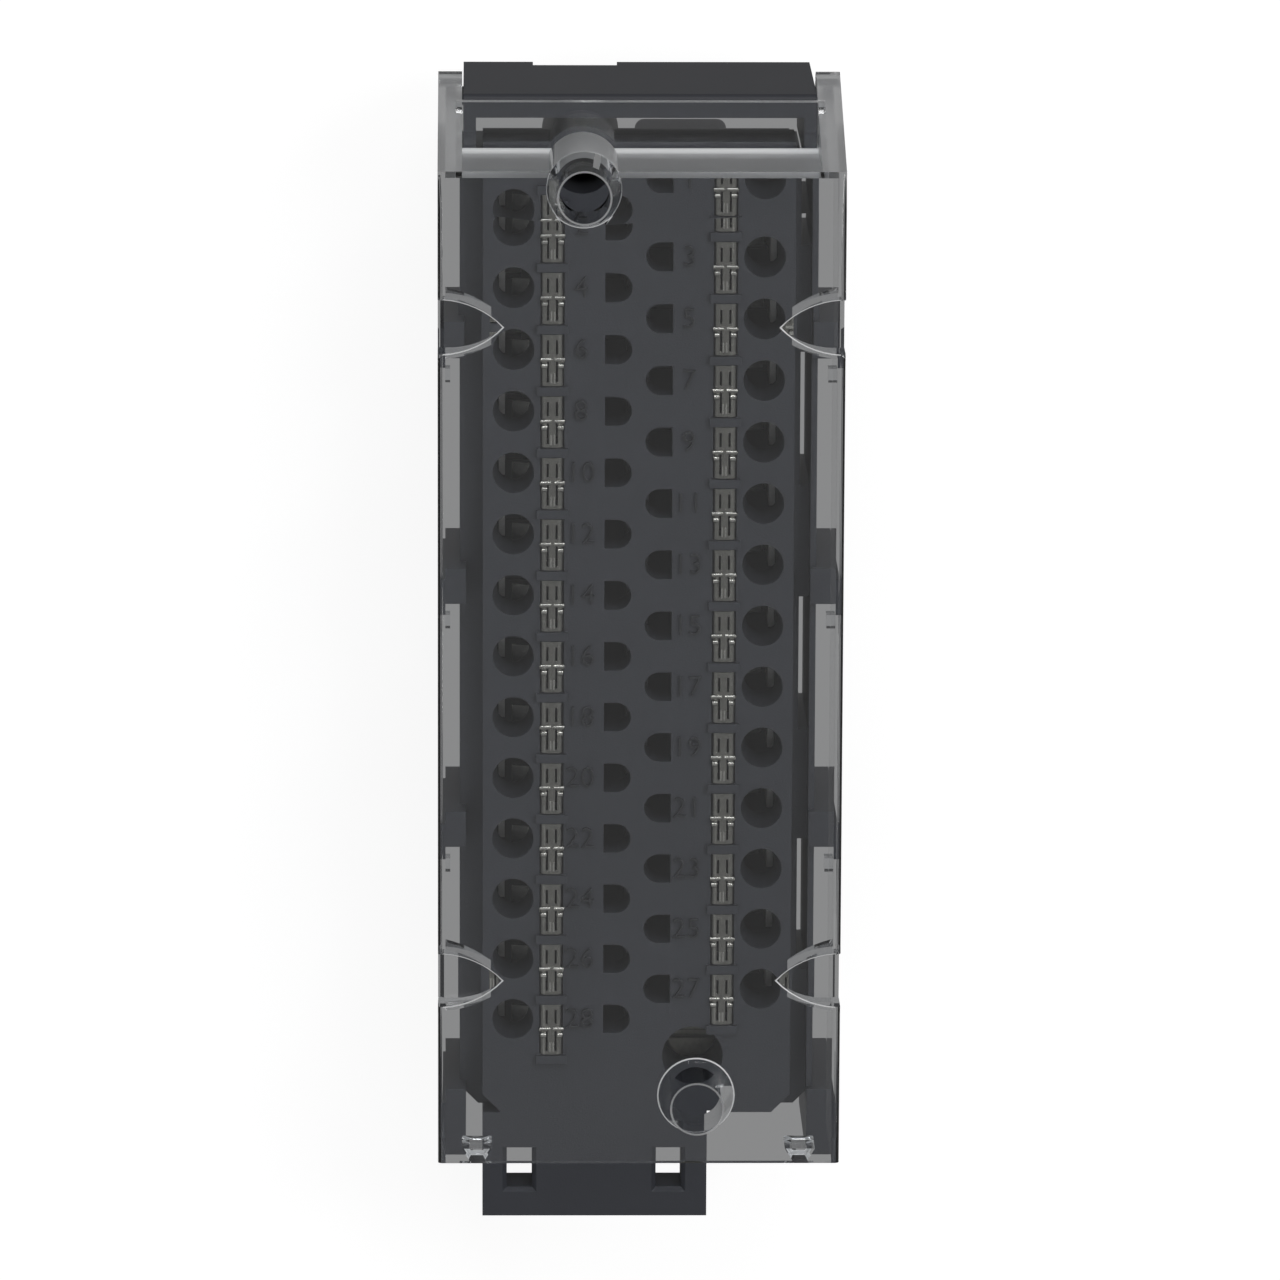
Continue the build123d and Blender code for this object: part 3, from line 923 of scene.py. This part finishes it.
            # Walls and tube tops take the painted reflection; tubes and scoops take the thin wall.
            if self.is_misted(face) or self.is_top(face):
                face.material_index = finishes.index(self.misted)
            elif self.is_thin(face):
                face.material_index = finishes.index(self.thin)
        # The rounded and eased strips take the white copy: painted glints.
        for face in strips:
            face.material_index = finishes.index(self.bright)
        piece = make_piece(bm, "clear_cover_shell", self.material, "cover")
        for finish in finishes[1:]:
            piece.data.materials.append(finish)
        for polygon, flat in zip(piece.data.polygons, flats):
            polygon.use_smooth = not flat
        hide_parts("clear_cover")
        return piece


@dataclass
class CaptiveScrew:
    """A slotted captive screw: slotted head, plain shank, groove, relief and a cut thread.

    It is drawn in millimetres about its own axis, and scaled and moved into place at the end.
    """

    fixing: Fixing
    material: bpy.types.Material
    head_radius_mm: float = 1.98
    head_height_mm: float = 2.0
    slot_width_mm: float = 0.6
    slot_depth_mm: float = 0.9
    shank_radius_mm: float = 1.5
    groove_radius_mm: float = 1.15
    relief_radius_mm: float = 1.3
    root_radius_mm: float = 1.2
    groove_mm: tuple[float, float] = (8.3, 9.1)
    thread_mm: tuple[float, float] = (1.0, 6.3)
    pitch_mm: float = 0.5
    # The winding starts this far below the tip, so that the tip cuts whole turns.
    run_in_turns: float = 1.6
    spare_turns: int = 3
    ease_mm: float = 0.12
    ease_steps: int = 3
    round_profile: float = 0.5
    # The thread's crest lies between these shares of its pitch.
    crest_share: tuple[float, float] = (0.42, 0.58)
    # Faces within this height of the slot's floor belong to it.
    level_mm: float = 0.012
    merge_mm: float = 0.0012
    segments: int = 48

    def axis(self) -> Vector:
        """Finds the screw's axis.

        Returns:
            Its place at the height of the plug's rear face, in metres.
        """
        low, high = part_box(f"{self.fixing.value}_screw")
        return Vector(((low.x + high.x) / 2, (low.y + high.y) / 2, 0.0))

    def head_top_mm(self) -> float:
        """Finds the top of the head.

        Returns:
            Its height, in millimetres.
        """
        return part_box(f"{self.fixing.value}_screw")[1].z / MM

    def profile(self) -> list[tuple[float, float]]:
        """Lists the turned outline from under the slot's floor down to the tip.

        Returns:
            The radius and the height of each edge, in millimetres.
        """
        top = self.head_top_mm()
        under = top - self.head_height_mm
        low, high = self.groove_mm
        tip, relief = self.thread_mm
        return [
            (self.head_radius_mm, under + self.ease_mm),
            (self.head_radius_mm - self.ease_mm, under),
            (self.shank_radius_mm, under),
            (self.shank_radius_mm, high),
            (self.groove_radius_mm, high),
            (self.groove_radius_mm, low),
            (self.relief_radius_mm, low),
            (self.relief_radius_mm, relief),
            (self.root_radius_mm, relief),
            (self.root_radius_mm, tip + self.ease_mm),
            (self.root_radius_mm - self.ease_mm, tip),
        ]

    def lathe(self, bm: bmesh.types.BMesh) -> None:
        """Draws the head and the shank from a disc at the slot's floor.

        Args:
            bm: the empty shape to fill, about the screw's own axis.
        """
        floor = self.head_top_mm() - self.slot_depth_mm
        bmesh.ops.create_circle(
            bm, cap_ends=True, radius=self.head_radius_mm, segments=self.segments
        )
        bmesh.ops.translate(bm, verts=bm.verts, vec=(0, 0, floor))
        for edge_y in (-self.slot_width_mm / 2, self.slot_width_mm / 2):
            bmesh.ops.bisect_plane(
                bm,
                geom=bm.verts[:] + bm.edges[:] + bm.faces[:],
                plane_co=(0, edge_y, floor),
                plane_no=(0, 1, 0),
            )
        rim = [edge for edge in bm.edges if edge.is_boundary]
        radius = self.head_radius_mm
        height = floor
        for next_radius, next_height in self.profile():
            made = bmesh.ops.extrude_edge_only(bm, edges=rim)["geom"]
            verts = [item for item in made if isinstance(item, bmesh.types.BMVert)]
            rim = [item for item in made if isinstance(item, bmesh.types.BMEdge)]
            rim = [edge for edge in rim if edge.is_boundary]
            share = next_radius / radius
            bmesh.ops.scale(bm, verts=verts, vec=(share, share, 1))
            bmesh.ops.translate(bm, verts=verts, vec=(0, 0, next_height - height))
            radius = next_radius
            height = next_height
        bmesh.ops.contextual_create(bm, geom=rim)
        lips = [
            face
            for face in bm.faces
            if abs(face.calc_center_median().z - floor) < self.level_mm
            and abs(face.calc_center_median().y) > self.slot_width_mm / 2
        ]
        raised = bmesh.ops.extrude_discrete_faces(bm, faces=lips)["faces"]
        verts = list({vert for face in raised for vert in face.verts})
        bmesh.ops.translate(bm, verts=verts, vec=(0, 0, self.slot_depth_mm))
        edges = list({edge for face in raised for edge in face.edges})
        bmesh.ops.bevel(
            bm,
            geom=edges,
            offset=self.ease_mm,
            affect="EDGES",
            segments=self.ease_steps,
            profile=self.round_profile,
            material=-1,
        )

    def thread(self, bm: bmesh.types.BMesh) -> None:
        """Winds the thread round the shank and closes its ends.

        Args:
            bm: the empty shape to fill, about the screw's own axis.
        """
        tip, relief = self.thread_mm
        turns = math.ceil((relief - tip) / self.pitch_mm) + self.spare_turns
        start = tip - self.pitch_mm * self.run_in_turns
        crest = self.shank_radius_mm
        rise, fall = (start + self.pitch_mm * share for share in self.crest_share)
        corners = [
            bm.verts.new((self.root_radius_mm, 0, start)),
            bm.verts.new((crest, 0, rise)),
            bm.verts.new((crest, 0, fall)),
            bm.verts.new((self.root_radius_mm, 0, start + self.pitch_mm)),
        ]
        edges = [bm.edges.new(pair) for pair in zip(corners, corners[1:])]
        bmesh.ops.spin(
            bm,
            geom=corners + edges,
            cent=(0, 0, 0),
            axis=(0, 0, 1),
            dvec=(0, 0, self.pitch_mm / self.segments),
            angle=math.tau * turns,
            steps=self.segments * turns,
        )
        bmesh.ops.remove_doubles(bm, verts=bm.verts, dist=self.merge_mm)
        for height, outwards in ((tip, -1), (relief, 1)):
            cut = bmesh.ops.bisect_plane(
                bm,
                geom=bm.verts[:] + bm.edges[:] + bm.faces[:],
                plane_co=(0, 0, height),
                plane_no=(0, 0, outwards),
                clear_outer=True,
            )
            ring = [item for item in cut["geom_cut"] if isinstance(item, bmesh.types.BMEdge)]
            bmesh.ops.edgenet_fill(bm, edges=ring)
        bmesh.ops.recalc_face_normals(bm, faces=bm.faces)

    def build(self) -> bpy.types.Object:
        """Makes the screw's piece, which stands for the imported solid."""
        whole = bmesh.new()
        for draw in (self.lathe, self.thread):
            part = bmesh.new()
            draw(part)
            mesh = bpy.data.meshes.new("screw_part")
            part.to_mesh(mesh)
            part.free()
            whole.from_mesh(mesh)
            bpy.data.meshes.remove(mesh)
        bmesh.ops.recalc_face_normals(whole, faces=whole.faces)
        bmesh.ops.scale(whole, verts=whole.verts, vec=(MM, MM, MM))
        bmesh.ops.translate(whole, verts=whole.verts, vec=self.axis())
        node = f"{self.fixing.value}_screw"
        name = f"{self.fixing.value}_slotted_screw"
        body = f"{self.fixing.value}_fixing"
        piece = make_piece(whole, name, self.material, body)
        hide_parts(node)
        return piece


@dataclass(frozen=True)
class Lamp:
    """One soft lamp: the way to it from the block, its width and height, and its power."""

    name: str
    way_m: tuple[float, float, float]
    size_m: tuple[float, float]
    watts: float


@dataclass
class Studio:
    """Floor, backdrop, lamps and the camera at the photograph's place."""

    white: StudioWhite = field(default_factory=StudioWhite)
    # The key lamp hangs above and right. A weak fill faces it, and a strip gives the glints.
    lamps: tuple[Lamp, ...] = (
        Lamp("key_lamp", way_m=(0.36, 0.17, 0.57), size_m=(0.28, 0.28), watts=1.05),
        Lamp("fill_lamp", way_m=(-0.35, -0.42, 0.50), size_m=(0.45, 0.45), watts=0.3),
        Lamp("strip_lamp", way_m=(0.04, 0.46, 0.46), size_m=(0.40, 0.07), watts=0.75),
    )
    floor_half_m: float = 2.0
    world_level: float = 0.26
    target_mm: tuple[float, float, float] = (0.18, 1.2, 24.5)
    camera_mm: float = 750.0
    frame_mm: float = 102.76
    sensor_mm: float = 36.0
    clip_m: tuple[float, float] = (0.01, 10.0)
    tilt_deg: float = 12.0
    swing_deg: float = 1.0
    roll_deg: float = 0.23

    def build_floor(self) -> None:
        """Lays the floor under the plug."""
        bm = bmesh.new()
        bmesh.ops.create_grid(bm, x_segments=1, y_segments=1, size=self.floor_half_m)
        mesh = bpy.data.meshes.new("studio_floor")
        bm.to_mesh(mesh)
        bm.free()
        mesh.materials.append(self.white.build_floor())
        floor = bpy.data.objects.new("studio_floor", mesh)
        bpy.context.scene.collection.objects.link(floor)

    def build_world(self) -> None:
        """Makes the backdrop: white to the camera, and an even fill for the rest."""
        world = bpy.data.worlds.new("studio_white")
        world.use_nodes = True
        tree = world.node_tree
        tree.nodes.clear()
        path = add_node(tree, "ShaderNodeLightPath")
        fill = add_node(
            tree,
            "ShaderNodeMath",
            {"operation": "MULTIPLY", 1: self.world_level},
            {0: path.outputs["Is Diffuse Ray"]},
        )
        level = add_node(
            tree,
            "ShaderNodeMath",
            {"operation": "ADD"},
            {0: fill.outputs[0], 1: self.white.seen(tree, 1.0)},
        )
        shade = add_node(
            tree,
            "ShaderNodeBackground",
            {"Color": linear(WHITE)},
            {"Strength": level.outputs[0]},
        )
        add_node(tree, "ShaderNodeOutputWorld", links={"Surface": shade.outputs[0]})
        bpy.context.scene.world = world

    def add_lamp(self, lamp: Lamp) -> None:
        """Hangs one lamp that faces the block.

        Args:
            lamp: the lamp to hang.
        """
        data = bpy.data.lights.new(lamp.name, "AREA")
        data.shape = "RECTANGLE"
        data.size, data.size_y = lamp.size_m
        data.energy = lamp.watts
        hung = bpy.data.objects.new(lamp.name, data)
        bpy.context.scene.collection.objects.link(hung)
        way = Vector(lamp.way_m)
        hung.location = Vector(self.target_mm) * MM + way
        hung.rotation_mode = "QUATERNION"
        hung.rotation_quaternion = way.to_track_quat("Z", "Y")
        hung.visible_camera = False

    def build_camera(self) -> None:
        """Stands the camera where the photograph was taken from."""
        tilt = math.radians(self.tilt_deg)
        swing = math.radians(self.swing_deg)
        back = Vector((-math.sin(swing), math.sin(tilt), math.cos(tilt) * math.cos(swing)))
        back.normalize()
        up = (Vector((0, 1, 0)) - back * back.y).normalized()
        right = up.cross(back)
        turn = Matrix.Rotation(math.radians(self.roll_deg), 3, back)
        axes = Matrix((turn @ right, turn @ up, back)).transposed()
        data = bpy.data.cameras.new("photo_camera")
        data.sensor_width = self.sensor_mm
        data.lens = self.sensor_mm * self.camera_mm / self.frame_mm
        data.clip_start, data.clip_end = self.clip_m
        camera = bpy.data.objects.new("photo_camera", data)
        bpy.context.scene.collection.objects.link(camera)
        place = (Vector(self.target_mm) + back * self.camera_mm) * MM
        camera.matrix_world = Matrix.Translation(place) @ axes.to_4x4()
        bpy.context.scene.camera = camera

    def build(self) -> None:
        """Sets up the whole studio."""
        bpy.context.scene.view_settings.view_transform = "Standard"
        self.build_floor()
        self.build_world()
        for lamp in self.lamps:
            self.add_lamp(lamp)
        self.build_camera()
        LOG.info("studio: camera %.0f mm from the face", self.camera_mm)


def dress_solids(finishes: Finishes) -> None:
    """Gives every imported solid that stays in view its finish.

    Args:
        finishes: the finishes to choose from.
    """
    by_slot = {
        "housing_plastic": finishes.housing,
        "base_plastic": finishes.base,
        "cover_clear": finishes.cover,
        "spring_steel": finishes.spring,
        "contact_metal": finishes.contact,
        "screw_steel": finishes.screw,
        "retainer_steel": finishes.screw,
    }
    for row in frame["record"]["subparts"]:
        dress(row["node"], by_slot[row["material_slot"]])


def main() -> None:
    """Builds the pieces in order."""
    logging.basicConfig(level=logging.INFO, format="%(message)s")
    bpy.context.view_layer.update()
    finishes = Finishes()
    dress_solids(finishes)
    ClearCover(finishes.cover, finishes.misted, finishes.bright, finishes.thin).build()
    for fixing in Fixing:
        CaptiveScrew(fixing, finishes.screw).build()
    for column in Column:
        CellNumbers(finishes.numbers).build(column)
        PressedFolds(finishes.fold).build(column)
    Studio().build()


if __name__ == "__main__":
    main()
